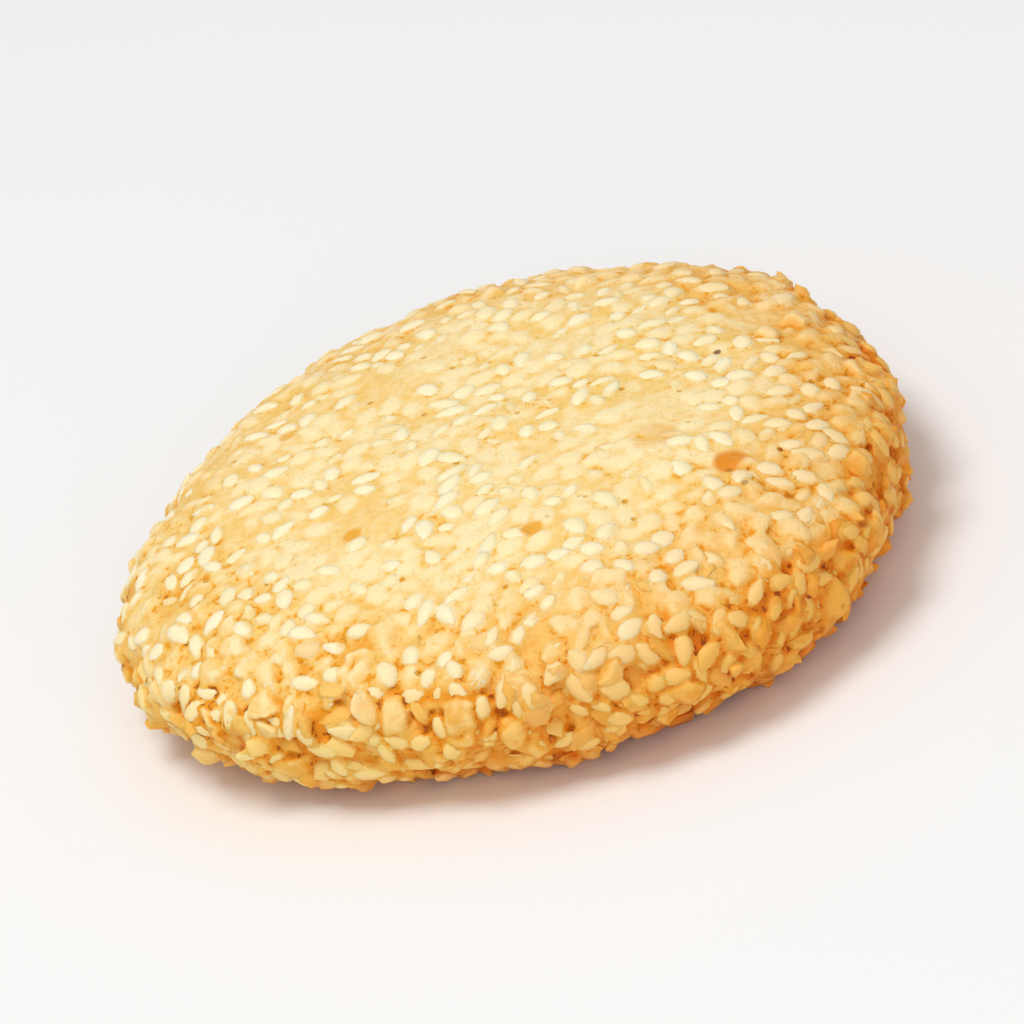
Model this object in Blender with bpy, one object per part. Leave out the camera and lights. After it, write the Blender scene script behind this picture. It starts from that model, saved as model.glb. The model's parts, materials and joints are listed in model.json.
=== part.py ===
"""Sesame cookie: a thick round biscuit of dough packed with sesame seeds, lying on its flat underside.

The biscuit is one solid. Its skin is a surface of revolution, pressed a little out of round and crumpled by
noise, and the largest of its seeds are half sunk in that skin and fused to it.
"""
import math
import random

import bmesh
import bpy
from mathutils import Matrix, Vector, noise

# Driving sizes of the biscuit, in metres
DIAMETER = 0.0676
THICKNESS = 0.0164
BELLY_SHARE = 0.40           # height of the widest ring, as a share of the thickness
BASE_FLAT_SHARE = 0.86       # radius of the flat underside, as a share of the full radius
DOME_POWER = 2.6             # superellipse power of the upper half: 2 is a dome, and more is flatter on top
HEEL_POWER = 2.0             # superellipse power of the lower edge

# The rim is pressed out of round: (lobes round the rim, share of the radius, phase in degrees)
RIM_LOBES = ((2, 0.004, -10), (3, 0.028, 147), (4, 0.014, -76), (7, 0.004, 20))

# Relief of the dough, in metres
SWELL_SIZE, SWELL_HEIGHT = 0.0110, 0.00045    # slow waves over the whole skin
CRAG_SIZE, CRAG_HEIGHT = 0.0046, 0.00125      # crumbled lumps of the side
CRAG_ON_TOP = 0.25           # share of the crags' height that is left on the pressed top
CRAG_ONSET = 1.6             # how soon the crags reach full height as the skin turns sideways
CRAG_SHIFT = Vector((7.0, 3.0, 1.0))          # keeps the crags' noise apart from the waves'
BODY_DIVISIONS = 6
DOUGH_TRIANGLES = 2400       # what the dough keeps, most of it where the side is craggy
TRIANGLES = 11800            # what the whole biscuit keeps once its seeds are fused

# The sesame seeds, in metres
SEED_LENGTH, SEED_WIDTH, SEED_THICKNESS = 0.0030, 0.0019, 0.0010
SEED_COUNT = 286
SEED_SCALES = (0.92, 1.10)
# Shares of half the length and half the width: the corners of a seed's outline, and the ends of its ridges
SEED_OUTLINE = (
    (1.0, 0.0), (0.35, 0.80), (-0.45, 1.0), (-1.0, 0.30), (-1.0, -0.30), (-0.45, -1.0), (0.35, -0.80),
)
SEED_RIDGE = (0.30, -0.50)
# How far a seed's middle stands out of the dough, as a share of its thickness: pressed flush on top
TOP_STAND, SIDE_STAND = 0.02, 0.25
SEED_FLOOR_GAP = 0.0004      # clearance of every seed over the surface that the biscuit lies on
TOP_TILT, SIDE_TILT = 9, 30  # largest tilt of a seed out of the skin, in degrees
BASE_SNAP = 0.00012          # dough this close to the floor lies on it
SEED_RULE = 40               # start of the seeded draws

GOLDEN_ANGLE = math.pi * (3 - math.sqrt(5))
PROFILE_STEPS = 60           # points along each of the two curves of the profile
SHARE_STEP, ANGLE_STEP = 0.004, 0.01          # how far apart the points lie that give the skin's normal


def clear_scene():
    for thing in list(bpy.data.objects):
        bpy.data.objects.remove(thing, do_unlink=True)


def dough_material():
    material = bpy.data.materials.new("baked_dough")
    material.use_nodes = True
    shader = material.node_tree.nodes["Principled BSDF"]
    shader.inputs["Base Color"].default_value = (0.86, 0.58, 0.27, 1)
    shader.inputs["Roughness"].default_value = 0.62
    shader.inputs["Metallic"].default_value = 0.0
    return material


def quarter(power, step):
    """Shares (out, up) along a quarter of a superellipse, from its top at step 0 to its side at step 1."""
    angle = step * math.pi / 2
    return math.sin(angle) ** (2 / power), math.cos(angle) ** (2 / power)


def profile():
    """Half section, (radius, height): from the middle of the top, over the dome, to the middle below."""
    radius = DIAMETER / 2
    belly = BELLY_SHARE * THICKNESS
    base_flat = BASE_FLAT_SHARE * radius
    points = []
    for i in range(PROFILE_STEPS):
        out, up = quarter(DOME_POWER, i / PROFILE_STEPS)
        points.append((radius * out, belly + (THICKNESS - belly) * up))
    for i in range(PROFILE_STEPS + 1):
        out, down = quarter(HEEL_POWER, 1 - i / PROFILE_STEPS)
        points.append((base_flat + (radius - base_flat) * out, belly * (1 - down)))
    points.append((0.0, 0.0))
    return points


class Skin:
    """The smooth skin, addressed by share of its area from the middle of the top, and by angle."""

    def __init__(self):
        self.points = profile()
        self.area = [0.0]
        for (r0, z0), (r1, z1) in zip(self.points, self.points[1:]):
            self.area.append(self.area[-1] + math.pi * (r0 + r1) * math.hypot(r1 - r0, z1 - z0))
        # The last stretch of the profile is the flat underside
        self.base_share = self.area[-2] / self.area[-1]

    def section(self, share):
        """(radius, height) of the profile where that share of the skin's area lies above it."""
        wanted = min(max(share, 0.0), 1.0) * self.area[-1]
        i = 0
        while i < len(self.area) - 2 and self.area[i + 1] < wanted:
            i += 1
        (r0, z0), (r1, z1) = self.points[i], self.points[i + 1]
        # Area grows with the square of the radius along a flat ring and nearly evenly down the side
        part = (wanted - self.area[i]) / (self.area[i + 1] - self.area[i])
        if abs(r1 - r0) > abs(z1 - z0):
            radius = math.sqrt(max(r0 * r0 + part * (r1 * r1 - r0 * r0), 0.0))
            part = (radius - r0) / (r1 - r0)
        return r0 + part * (r1 - r0), z0 + part * (z1 - z0)

    def point(self, share, angle):
        radius, height = self.section(share)
        radius *= 1 + sum(size * math.cos(lobes * angle + math.radians(phase))
                          for lobes, size, phase in RIM_LOBES)
        return Vector((radius * math.cos(angle), radius * math.sin(angle), height))

    def normal(self, share, angle):
        up = self.point(max(share - SHARE_STEP, 0.0), angle) - self.point(share + SHARE_STEP, angle)
        around = self.point(share, angle + ANGLE_STEP) - self.point(share, angle - ANGLE_STEP)
        return around.cross(up).normalized()


def relief(point, normal):
    """How far the dough stands out of the smooth skin: slow waves, and crags where it faces sideways."""
    sideways = min(1.0, CRAG_ONSET * (1 - abs(normal.z)))
    waves = noise.noise(point / SWELL_SIZE) * SWELL_HEIGHT
    crags = noise.noise(point / CRAG_SIZE + CRAG_SHIFT) * CRAG_HEIGHT
    return waves + crags * (CRAG_ON_TOP + (1 - CRAG_ON_TOP) * sideways)


def make_body(skin):
    """The dough: a ball pressed on to the skin so that its faces keep even sizes."""
    mesh = bpy.data.meshes.new("sesame_cookie")
    ball = bmesh.new()
    bmesh.ops.create_icosphere(ball, subdivisions=BODY_DIVISIONS, radius=1.0)
    for vertex in ball.verts:
        share = (1 - vertex.co.z) / 2
        angle = math.atan2(vertex.co.y, vertex.co.x)
        place = skin.point(share, angle)
        if share < skin.base_share:
            normal = skin.normal(share, angle)
            place = place + normal * relief(place, normal)
        place.z = max(place.z, 0.0)
        vertex.co = place
    ball.to_mesh(mesh)
    ball.free()
    return bpy.data.objects.new("sesame_cookie", mesh)


def flatten_base(mesh):
    """Puts what lies within a hair of the floor on it, and makes the underside one flat face."""
    work = bmesh.new()
    work.from_mesh(mesh)
    for vertex in work.verts:
        if vertex.co.z < BASE_SNAP:
            vertex.co.z = 0.0
    inner = [edge for edge in work.edges if all(v.co.z == 0.0 for f in edge.link_faces for v in f.verts)]
    bmesh.ops.dissolve_edges(work, edges=inner, use_verts=True)
    work.to_mesh(mesh)
    work.free()


def seed_mesh():
    """One sesame seed: a drop with seven corners round its outline and a ridge on each face, pointing to +X."""
    mesh = bpy.data.meshes.new("seed")
    drop = bmesh.new()
    for along, across in SEED_OUTLINE:
        drop.verts.new((along * SEED_LENGTH / 2, across * SEED_WIDTH / 2, 0.0))
    for along in SEED_RIDGE:
        for side in (-1, 1):
            drop.verts.new((along * SEED_LENGTH / 2, 0.0, side * SEED_THICKNESS / 2))
    bmesh.ops.convex_hull(drop, input=drop.verts[:])
    drop.to_mesh(mesh)
    drop.free()
    return mesh


def scatter_seeds(skin, collection):
    """Seeds spaced evenly over the top and the side by the golden angle, with seeded turns and tilts."""
    draw = random.Random(SEED_RULE)
    mesh = seed_mesh()
    for i in range(SEED_COUNT):
        share = (i + 0.5) / SEED_COUNT * skin.base_share
        angle = i * GOLDEN_ANGLE
        normal = skin.normal(share, angle)
        sideways = 1 - abs(normal.z)
        tilt = math.radians(TOP_TILT + (SIDE_TILT - TOP_TILT) * sideways)
        stand = TOP_STAND + (SIDE_STAND - TOP_STAND) * sideways
        place = skin.point(share, angle)
        place += normal * (relief(place, normal) + stand * SEED_THICKNESS)
        turn = normal.to_track_quat("Z", "Y").to_matrix().to_4x4()
        turn = turn @ Matrix.Rotation(draw.uniform(0, 2 * math.pi), 4, "Z")
        turn = turn @ Matrix.Rotation(draw.uniform(-tilt, tilt), 4, "Y")
        turn = turn @ Matrix.Rotation(draw.uniform(-tilt, tilt), 4, "X")
        scale = draw.uniform(*SEED_SCALES)
        shape = turn @ Matrix.Scale(scale, 4)
        lowest = place.z + min((shape @ vertex.co).z for vertex in mesh.vertices)
        place.z += max(0.0, SEED_FLOOR_GAP - lowest)
        seed = bpy.data.objects.new(f"seed_{i:03d}", mesh)
        seed.matrix_world = Matrix.Translation(place) @ shape
        collection.objects.link(seed)


def apply_modifiers(body):
    """Makes the body's modifiers part of its mesh."""
    bpy.context.view_layer.update()
    graph = bpy.context.evaluated_depsgraph_get()
    mesh = bpy.data.meshes.new_from_object(body.evaluated_get(graph))
    body.modifiers.clear()
    body.data = mesh


def thin_out(body, triangles):
    """Collapses the shortest and flattest edges until that many triangles are left."""
    body.modifiers.new("triangles", "TRIANGULATE")
    collapse = body.modifiers.new("thin_out", "DECIMATE")
    collapse.ratio = triangles / sum(len(face.vertices) - 2 for face in body.data.polygons)
    apply_modifiers(body)


def fuse(body, collection):
    """Joins every object of the collection to the body by one Boolean union, and removes them."""
    union = body.modifiers.new("fuse_seeds", "BOOLEAN")
    union.operation = "UNION"
    union.operand_type = "COLLECTION"
    union.collection = collection
    union.solver = "EXACT"
    apply_modifiers(body)
    for thing in list(collection.objects):
        bpy.data.objects.remove(thing, do_unlink=True)
    bpy.data.collections.remove(collection)


def keep_largest_shell(mesh):
    """Drops sealed hollows and loose scraps: every shell but the one with the most faces."""
    work = bmesh.new()
    work.from_mesh(mesh)
    left = set(work.faces)
    shells = []
    while left:
        start = left.pop()
        shell, reached = [start], [start]
        while reached:
            face = reached.pop()
            for edge in face.edges:
                for other in edge.link_faces:
                    if other in left:
                        left.remove(other)
                        shell.append(other)
                        reached.append(other)
        shells.append(shell)
    shells.sort(key=len)
    for shell in shells[:-1]:
        bmesh.ops.delete(work, geom=shell, context="FACES")
    work.to_mesh(mesh)
    work.free()


def centre_on_origin(mesh):
    """Moves the mesh so that its box stands on the origin, centred."""
    low = Vector(min(v.co[i] for v in mesh.vertices) for i in range(3))
    high = Vector(max(v.co[i] for v in mesh.vertices) for i in range(3))
    middle = (low + high) / 2
    mesh.transform(Matrix.Translation((-middle.x, -middle.y, -low.z)))


def main():
    clear_scene()
    parts = bpy.data.collections.new("sesame_cookie")
    seeds = bpy.data.collections.new("seeds_to_fuse")
    bpy.context.scene.collection.children.link(parts)
    bpy.context.scene.collection.children.link(seeds)
    skin = Skin()
    body = make_body(skin)
    parts.objects.link(body)
    thin_out(body, DOUGH_TRIANGLES)
    flatten_base(body.data)
    scatter_seeds(skin, seeds)
    fuse(body, seeds)
    keep_largest_shell(body.data)
    thin_out(body, TRIANGLES)
    centre_on_origin(body.data)
    body.data.materials.clear()
    body.data.materials.append(dough_material())


main()
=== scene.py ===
# %% [markdown]
# # A sesame cookie
# A thick round cookie of short, buttery dough that carries as many sesame seeds as it can hold. It was
# pressed flat by hand, so its top is smooth and its side is crumbly, and it was baked until the hollows
# turned golden. The look is built the way the cookie is: a plain pat of dough, lumps and seeds set into it, a
# skin that closes over them in the oven, then the seeds themselves, loose crumbs and flakes, and at last the
# browning.
#
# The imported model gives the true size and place. Everything here is in metres, in the same frame.

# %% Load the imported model
import json
import math
import random

import bmesh
import bpy
from mathutils import Matrix, Vector, noise

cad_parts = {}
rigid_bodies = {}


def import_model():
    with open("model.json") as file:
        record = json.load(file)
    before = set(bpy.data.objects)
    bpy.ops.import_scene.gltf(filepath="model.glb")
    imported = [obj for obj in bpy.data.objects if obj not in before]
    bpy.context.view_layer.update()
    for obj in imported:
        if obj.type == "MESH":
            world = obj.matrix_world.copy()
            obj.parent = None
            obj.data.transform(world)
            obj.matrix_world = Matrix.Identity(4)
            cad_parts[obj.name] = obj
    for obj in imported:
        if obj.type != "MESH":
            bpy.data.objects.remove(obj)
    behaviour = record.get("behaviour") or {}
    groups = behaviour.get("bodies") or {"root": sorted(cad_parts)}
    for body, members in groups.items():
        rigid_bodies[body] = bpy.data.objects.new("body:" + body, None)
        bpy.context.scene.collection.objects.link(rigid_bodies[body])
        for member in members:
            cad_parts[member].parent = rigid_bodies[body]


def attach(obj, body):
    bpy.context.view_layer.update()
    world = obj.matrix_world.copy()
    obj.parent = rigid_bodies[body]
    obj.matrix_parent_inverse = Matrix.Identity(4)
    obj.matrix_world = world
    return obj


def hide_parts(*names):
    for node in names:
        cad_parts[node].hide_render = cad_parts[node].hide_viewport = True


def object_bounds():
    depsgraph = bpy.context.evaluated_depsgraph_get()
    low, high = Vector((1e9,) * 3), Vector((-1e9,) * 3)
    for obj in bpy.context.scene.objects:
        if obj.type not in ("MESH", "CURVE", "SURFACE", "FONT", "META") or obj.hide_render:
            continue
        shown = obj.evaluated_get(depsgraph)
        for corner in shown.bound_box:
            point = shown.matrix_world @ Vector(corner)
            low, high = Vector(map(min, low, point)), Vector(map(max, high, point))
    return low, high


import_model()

MM = 0.001
cad_low, cad_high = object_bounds()
print("solid, mm:", [round((b - a) / MM, 2) for a, b in zip(cad_low, cad_high)])

# %% [markdown]
# ## Small helpers
# Node trees are long when every socket is written out. `add` makes a node, sets its options and feeds its
# inputs in one call: a value is stored on the socket, another node's output is linked to it. The same helpers
# serve geometry trees and shader trees.

# %% Helpers for nodes
def feed(tree, node, feeds):
    """Sets or links a node's inputs, given by name or by number."""
    for socket, value in feeds.items():
        if isinstance(value, bpy.types.NodeSocket):
            tree.links.new(value, node.inputs[socket])
        else:
            node.inputs[socket].default_value = value


def add(tree, kind, feeds=None, **options):
    """Adds a node to a tree, with its options and its inputs."""
    node = tree.nodes.new(kind)
    for option, value in options.items():
        setattr(node, option, value)
    feed(tree, node, feeds or {})
    return node


def add_sockets(tree, way, kinds):
    """Gives a tree named inputs or outputs. kinds lists the names for each kind of socket."""
    for kind, names in kinds.items():
        for name in names:
            tree.interface.new_socket(name, in_out=way, socket_type="NodeSocket" + kind)


# %% Helpers for numbers, vectors and colours in a tree
def calc(tree, operation, *values, clamp=False):
    """The result of a Math node."""
    feeds = dict(enumerate(values))
    return add(tree, "ShaderNodeMath", feeds, operation=operation, use_clamp=clamp).outputs[0]


def calc_vector(tree, operation, first, second):
    """The result of a Vector Math node, which for a dot product or a distance is a number."""
    feeds = {0: first, "Scale" if operation == "SCALE" else 1: second}
    result = "Value" if operation in ("DOT_PRODUCT", "DISTANCE") else "Vector"
    return add(tree, "ShaderNodeVectorMath", feeds, operation=operation).outputs[result]


def mixed(tree, share, first, second, kind="RGBA", blend="MIX"):
    """Two colours, vectors or numbers mixed by a share."""
    a, b, result = {"FLOAT": (2, 3, 0), "VECTOR": (4, 5, 1), "RGBA": (6, 7, 2)}[kind]
    node = add(tree, "ShaderNodeMix", {0: share, a: first, b: second}, data_type=kind, blend_type=blend)
    return node.outputs[result]


def between(tree, value, low, high):
    """0 below low, 1 above high, and a smooth step between them. low may be the greater."""
    feeds = {"Value": value, "From Min": low, "From Max": high}
    return add(tree, "ShaderNodeMapRange", feeds, interpolation_type="SMOOTHSTEP").outputs[0]


# %% Helpers for meshes
def place_object(name, mesh):
    """Puts a mesh in the scene as an object at the origin."""
    item = bpy.data.objects.new(name, mesh)
    bpy.context.scene.collection.objects.link(item)
    return item


def settled(item):
    """A plain mesh of the object as its modifiers leave it; the modifiers are then removed."""
    bpy.context.view_layer.update()
    graph = bpy.context.evaluated_depsgraph_get()
    mesh = bpy.data.meshes.new_from_object(item.evaluated_get(graph))
    item.modifiers.clear()
    return mesh


def triangles(mesh):
    """The number of triangles in a mesh."""
    return sum(len(face.vertices) - 2 for face in mesh.polygons)


def smooth_step(value, low, high):
    """0 at low, 1 at high, and a smooth step between them. low may be the greater."""
    share = min(max((value - low) / (high - low), 0.0), 1.0)
    return share * share * (3 - 2 * share)


# %% [markdown]
# ## The pat of dough
# A round thing that is the same all the way round is a half section turned about its axis, so the pat starts
# as a profile with a Screw modifier: a dome that is a quarter of a superellipse, a rounded heel and a flat
# base. A hand doesn't press evenly, so a few low waves then push the rim out of round, two single pushes move
# it out on the left and in at the front, and noise swells the top and crumbles the side. The pat is a little
# smaller than the solid, and its heel is tucked further in, because the crumbs and seeds that are set into it
# stand out of it.

# %% Turn the profile
DIAMETER, THICKNESS = 67.0 * MM, 16.4 * MM
BELLY_SHARE, BASE_FLAT_SHARE = 0.44, 0.75
DOME_POWER, HEEL_POWER = 2.6, 2.0
PROFILE_STEPS, TURN_STEPS, MERGE_WITHIN = 60, 340, 0.01 * MM


def superellipse(power, step):
    """(out, up) on a quarter of a superellipse, from its top at step 0 to its side at step 1."""
    angle = step * math.pi / 2
    return math.sin(angle) ** (2 / power), math.cos(angle) ** (2 / power)


def half_section():
    """(radius, height) from the middle of the top, over the dome, to the middle of the base."""
    radius, belly = DIAMETER / 2, BELLY_SHARE * THICKNESS
    base_flat = BASE_FLAT_SHARE * radius
    steps = [i / PROFILE_STEPS for i in range(PROFILE_STEPS)]
    points = []
    for s in steps:
        out, up = superellipse(DOME_POWER, s)
        points.append((radius * out, belly + (THICKNESS - belly) * up))
    for s in steps:
        out, down = superellipse(HEEL_POWER, 1 - s)
        points.append((base_flat + (radius - base_flat) * out, belly * (1 - down)))
    return points + [(base_flat * (1 - s), 0.0) for s in steps] + [(0.0, 0.0)]


def turned(points):
    """The solid of revolution of a half section, as a mesh."""
    mesh = bpy.data.meshes.new("half_section")
    mesh.from_pydata([(r, 0, z) for r, z in points], [(i, i + 1) for i in range(len(points) - 1)], [])
    item = place_object("pat", mesh)
    screw = item.modifiers.new("turn", "SCREW")
    screw.axis, screw.angle = "Z", math.tau
    screw.steps = screw.render_steps = TURN_STEPS
    screw.use_merge_vertices, screw.merge_threshold = True, MERGE_WITHIN
    solid = settled(item)
    bpy.data.objects.remove(item)
    return solid


pat_mesh = turned(half_section())
print("turned pat:", triangles(pat_mesh), "triangles")

# %% Press it out of round and crumble it
RIM_LOBES = (              # waves around the rim, share of the radius, phase in degrees
    (2, 0.0155, -79), (3, 0.034, 148), (4, 0.012, -77), (7, 0.004, 20),
)
RIM_PUSHES = (             # x, y, z, reach and push outwards, in millimetres
    (-33.5, -2.3, 5.5, 12.0, 0.9), (11.5, -27.0, 1.5, 16.0, -0.9),
)
SWELL_SIZE, SWELL_HEIGHT = 11.0 * MM, 0.45 * MM
CRAG_SIZE, CRAG_HEIGHT = 4.6 * MM, 1.25 * MM
CRAG_ON_TOP, CRAG_ONSET = 0.25, 1.6
CRAG_SHIFT = Vector((7.0, 3.0, 1.0))
FLAT_BELOW = 0.01 * MM


def press_out_of_round(mesh):
    """Low waves around the rim, then the two places where the dough was pushed out or in."""
    for vertex in mesh.vertices:
        angle = math.atan2(vertex.co.y, vertex.co.x)
        waves = [size * math.cos(lobes * angle + math.radians(phase)) for lobes, size, phase in RIM_LOBES]
        vertex.co.x *= 1 + sum(waves)
        vertex.co.y *= 1 + sum(waves)
        outward = Vector((vertex.co.x, vertex.co.y, 0.0)).normalized()
        for x, y, z, reach, push in RIM_PUSHES:
            near = smooth_step((vertex.co / MM - Vector((x, y, z))).length, reach, 0.0)
            vertex.co += outward * near * push * MM
    mesh.update()


def crumble(mesh):
    """Slow waves all over, and crags where the surface faces sideways. The base stays flat."""
    normals = [normal.vector.copy() for normal in mesh.vertex_normals]
    for vertex, normal in zip(mesh.vertices, normals):
        if vertex.co.z < FLAT_BELOW:
            continue
        sideways = min(1.0, CRAG_ONSET * (1 - abs(normal.z)))
        waves = noise.noise(vertex.co / SWELL_SIZE) * SWELL_HEIGHT
        crags = noise.noise(vertex.co / CRAG_SIZE + CRAG_SHIFT) * CRAG_HEIGHT
        vertex.co += normal * (waves + crags * (CRAG_ON_TOP + (1 - CRAG_ON_TOP) * sideways))
        vertex.co.z = max(vertex.co.z, 0.0)
    mesh.update()


press_out_of_round(pat_mesh)
crumble(pat_mesh)
pat = place_object("pat", pat_mesh)
print("pat of dough, mm:", [round(d / MM, 1) for d in pat.dimensions])

# %% [markdown]
# ## Where the seeds and crumbs go
# The scatter reads the pat's own attributes, painted here once. `side` is 0 in the middle of the pressed top,
# grows towards the rim and is 1 where the cookie faces sideways. `below` is 1 on the base, `seedy` and
# `crumbly` say how thickly seeds and crumbs lie, and `heel` is 1 along the lower edge, where thin flakes
# stick out. The rim is smoothest on the left and at the back, so the crumbs begin lower down there. The dough
# has smeared over the seeds in a few patches of the top, so there are fewer of them there.

# %% Paint the attributes that steer the scatter
BARE_PATCHES = (           # x, y and half width, in millimetres
    (13.8, -5.9, 5.0), (-12.8, -8.7, 4.0), (24.2, 7.7, 4.0), (-6.0, 14.0, 4.5), (1.2, -26.1, 3.2),
    (18.6, -15.1, 2.6), (1.1, -17.4, 2.0), (-16.1, 11.3, 1.8),
)
PATCH_CORE, PATCH_COVER = 0.6, 0.85
TOP_SEEDS, SIDE_SEEDS, HEEL_SEEDS = 0.95, 0.66, 0.30
# Each zone begins at its first value and is full at its second: by how far the skin faces up or down,
BASE_FACING, SIDE_FACING = (0.90, 0.99), (0.96, 0.62)
SIDE_SEED_FACING, CRUMB_FACING = (0.5, 0.2), (0.90, 0.55)
# by the height over the base,
BASE_HEIGHTS, HEEL_SEED_HEIGHTS, FLAKE_HEIGHTS = (0.4 * MM, 0.0), (5.5 * MM, 3.0 * MM), (6.0 * MM, 3.0 * MM)
# and by the share of the radius, all round or towards the smoothest part of the rim
RIM_ZONE, SMOOTH_ZONE = (0.55, 0.88), (0.10, 0.80)
RIM_SHARE, RIM_CRUMBS = 0.5, 0.50          # what `side` and `crumbly` gain at the rim
SMOOTHEST_RIM, SMOOTH_RIM_DROP = Vector((-0.75, 0.66)), 0.35


def paint(mesh, name, values):
    """Gives the mesh a named attribute, one number for each vertex."""
    mesh.attributes.new(name, "FLOAT", "POINT").data.foreach_set("value", values)


def zones_at(place, up):
    """How much of each zone is at a point of the pat whose normal rises that much."""
    x, y = place.x / MM, place.y / MM
    under = smooth_step(-up, *BASE_FACING) * smooth_step(place.z, *BASE_HEIGHTS)
    rim = smooth_step(math.hypot(x, y) * MM / (DIAMETER / 2), *RIM_ZONE)
    edge = max(smooth_step(up, *SIDE_FACING), RIM_SHARE * rim)
    smoothed = smooth_step(SMOOTHEST_RIM.dot((x, y)) * MM / (DIAMETER / 2), *SMOOTH_ZONE)
    drop = SMOOTH_RIM_DROP * smoothed
    covered = max(smooth_step(math.hypot(x - a, y - b), size, size * PATCH_CORE)
                  for a, b, size in BARE_PATCHES)
    thick = TOP_SEEDS + (SIDE_SEEDS - TOP_SEEDS) * smooth_step(up, *SIDE_SEED_FACING)
    thick += (HEEL_SEEDS - thick) * smooth_step(place.z, *HEEL_SEED_HEIGHTS)
    strewn = RIM_CRUMBS * rim ** 2 * (1 - smoothed)
    start, full = CRUMB_FACING
    return {
        "side": edge, "below": under,
        "seedy": (1 - under) * thick * (1 - PATCH_COVER * covered * (1 - edge)),
        "crumbly": (1 - under) * max(smooth_step(up, start - drop, full - drop), strewn),
        "heel": (1 - under) * smooth_step(place.z, *FLAKE_HEIGHTS),
    }


zones = [zones_at(vertex.co, normal.vector.z)
         for vertex, normal in zip(pat_mesh.vertices, pat_mesh.vertex_normals)]
for zone in zones[0]:
    paint(pat_mesh, zone, [shares[zone] for shares in zones])
    print(zone, "covers", round(sum(shares[zone] for shares in zones) / len(zones), 2), "of the pat")

# %% [markdown]
# ## The shapes that are set into the dough
# A sesame seed is a flattened drop about 3 mm long, pointed at one end. A few dozen faces are enough for one,
# because there are well over a thousand. Five cuts that differ in length, plumpness and bend keep them from
# looking stamped. Lumps, crumbs and flakes of short dough break with flat faces and blunt corners, which is
# what the convex hull of a few points near an ellipsoid looks like.

# %% Make the seeds
SEED_LENGTH, SEED_WIDTH, SEED_THICKNESS = 3.1 * MM, 2.05 * MM, 1.0 * MM
SEED_CUTS = (          # share of length, width, thickness; bend sideways; how pointed
    (1.00, 1.00, 1.00, 0.00, 0.36),
    (1.08, 0.88, 0.95, 0.10, 0.46),
    (0.90, 1.06, 1.12, -0.06, 0.28),
    (0.97, 0.92, 1.04, -0.14, 0.42),
    (0.82, 0.98, 1.20, 0.08, 0.22),
)
SEED_SEGMENTS, SEED_RINGS = 8, 6
TAPER, THINNING, THINNING_SHARE = (-0.25, 1.05), (-0.1, 1.1), 0.5     # along the seed, -1 to 1


def shapes_to_set(title, meshes):
    """A hidden collection of shapes, for Collection Info to pick from."""
    group = bpy.data.collections.new(title)
    for i, mesh in enumerate(meshes):
        group.objects.link(bpy.data.objects.new(f"{title}_{i}", mesh))
    return group


def seed_cut(length, width, thickness, bend, point):
    """A sphere pulled into a flattened drop that lies along X."""
    mesh = bpy.data.meshes.new("seed_cut")
    drop = bmesh.new()
    bmesh.ops.create_uvsphere(drop, u_segments=SEED_SEGMENTS, v_segments=SEED_RINGS, radius=1.0)
    bmesh.ops.rotate(drop, verts=drop.verts[:], matrix=Matrix.Rotation(math.pi / 2, 3, "Y"))
    along = []
    for vertex in drop.verts:
        t = vertex.co.x
        along.append(t)
        narrow = 1 - point * smooth_step(t, *TAPER)
        thin = 1 - THINNING_SHARE * point * smooth_step(t, *THINNING)
        vertex.co.x = t * SEED_LENGTH / 2 * length
        vertex.co.y = (vertex.co.y * narrow + bend * (t * t - 0.4)) * SEED_WIDTH / 2 * width
        vertex.co.z *= SEED_THICKNESS / 2 * thickness * thin
    drop.to_mesh(mesh)
    drop.free()
    paint(mesh, "along", along)
    return mesh


seed_cuts = shapes_to_set("seed_cut", [seed_cut(*cut) for cut in SEED_CUTS])

# %% Make the lumps, crumbs and flakes
CUTS = (                   # title, full size in millimetres, corners, first draw, number of cuts
    ("lump_cut", (4.8, 3.6, 2.6), 20, 0, 7),
    ("crumb_cut", (3.4, 2.2, 1.45), 20, 10, 9),
    ("flake_cut", (3.6, 2.4, 0.45), 16, 20, 5),
)
NEAREST_CORNER = 0.85      # share of the ellipsoid at which a corner may lie
SHARP_CORNER = math.radians(55)


def chunk(size, corners, start):
    """A broken piece of dough: the hull of points drawn near an ellipsoid with those full sizes."""
    draw = random.Random(start)
    piece = bmesh.new()
    for _ in range(corners):
        ray = Vector([draw.gauss(0, 1) for _ in range(3)]).normalized() * draw.uniform(NEAREST_CORNER, 1.0)
        piece.verts.new([part * full / 2 for part, full in zip(ray, size)])
    hull = bmesh.ops.convex_hull(piece, input=piece.verts[:])
    bmesh.ops.delete(piece, geom=list(set(hull["geom_interior"])), context="VERTS")
    for edge in piece.edges:
        edge.smooth = edge.calc_face_angle(0.0) < SHARP_CORNER
    mesh = bpy.data.meshes.new("chunk")
    piece.to_mesh(mesh)
    piece.free()
    return mesh


lump_cuts, crumb_cuts, flake_cuts = (
    shapes_to_set(title, [chunk([side * MM for side in size], corners, first + i) for i in range(count)])
    for title, size, corners, first, count in CUTS)

# %% [markdown]
# ## One tree that sets shapes into a skin
# Seeds, lumps, flakes and crumbs are all small shapes set into a surface at an even but random spacing, so
# one tree of Geometry Nodes serves them all. Distribute Points in its Poisson mode keeps them apart. Each
# point gets a spin about the skin's normal, a tilt that grows towards the side, and its own depth. `Swell`
# stretches the shapes: the same seeds, a little swollen, are what the dough closes over later, and they fall
# in the same places because the random seed is the same.
#
# Each shape remembers where the skin was, so that after Realize Instances every vertex knows its `height`
# over the skin. The materials use it to fade a seed into the dough that holds it.

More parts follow.
